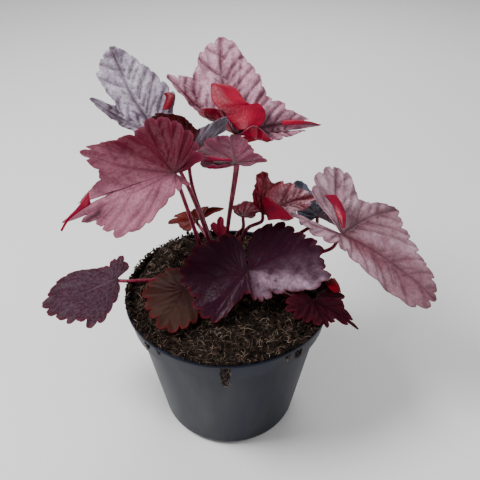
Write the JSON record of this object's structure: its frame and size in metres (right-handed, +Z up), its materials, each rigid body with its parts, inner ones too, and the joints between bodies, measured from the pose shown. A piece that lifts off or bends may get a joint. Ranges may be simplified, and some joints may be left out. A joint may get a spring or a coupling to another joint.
{
  "type": "potted heuchera plant",
  "caption": "Heuchera with lobed purple and silver leaves on red stalks, growing in peat soil in a round nursery pot.",
  "frame": {"origin": "centre of the pot's flat underside", "axes": "+Z up, -Y towards the viewer of the picture, +X to the viewer's right"},
  "size_m": [0.2458, 0.1759, 0.2259],
  "materials": {
    "pot": "moulded black polypropylene, satin",
    "soil": "loose dark peat and coir fibre",
    "stalk": "hairy crimson leaf stalk",
    "leaf_high_left": "satin leaf surface, raised net of veins",
    "leaf_high_right": "satin leaf surface, raised net of veins",
    "leaf_broad_left": "satin leaf surface, raised net of veins",
    "leaf_middle": "satin leaf surface, raised net of veins",
    "leaf_behind_left": "satin leaf surface, raised net of veins",
    "leaf_broad_right": "satin leaf surface, raised net of veins",
    "leaf_young_right": "satin leaf surface, raised net of veins",
    "leaf_young_middle": "satin leaf surface, raised net of veins",
    "leaf_young_shoot": "satin leaf surface, raised net of veins",
    "leaf_low_back": "satin leaf surface, raised net of veins",
    "leaf_front": "satin leaf surface, raised net of veins",
    "leaf_on_soil": "satin leaf surface, raised net of veins",
    "leaf_far_left": "satin leaf surface, raised net of veins",
    "leaf_low_right": "satin leaf surface, raised net of veins",
    "leaf_behind_right": "satin leaf surface, raised net of veins"
  },
  "bodies": {
    "root": {"pot": "pot", "soil": "soil", "stalk_high_left": "stalk", "blade_high_left": "leaf_high_left", "stalk_high_right": "stalk", "blade_high_right": "leaf_high_right", "stalk_broad_left": "stalk", "blade_broad_left": "leaf_broad_left", "stalk_middle": "stalk", "blade_middle": "leaf_middle", "stalk_behind_left": "stalk", "blade_behind_left": "leaf_behind_left", "stalk_broad_right": "stalk", "blade_broad_right": "leaf_broad_right", "stalk_young_right": "stalk", "blade_young_right": "leaf_young_right", "stalk_young_middle": "stalk", "blade_young_middle": "leaf_young_middle", "stalk_young_shoot": "stalk", "blade_young_shoot": "leaf_young_shoot", "stalk_low_back": "stalk", "blade_low_back": "leaf_low_back", "stalk_front": "stalk", "blade_front": "leaf_front", "stalk_on_soil": "stalk", "blade_on_soil": "leaf_on_soil", "stalk_far_left": "stalk", "blade_far_left": "leaf_far_left", "stalk_low_right": "stalk", "blade_low_right": "leaf_low_right", "stalk_behind_right": "stalk", "blade_behind_right": "leaf_behind_right"}
  },
  "joints": []
}
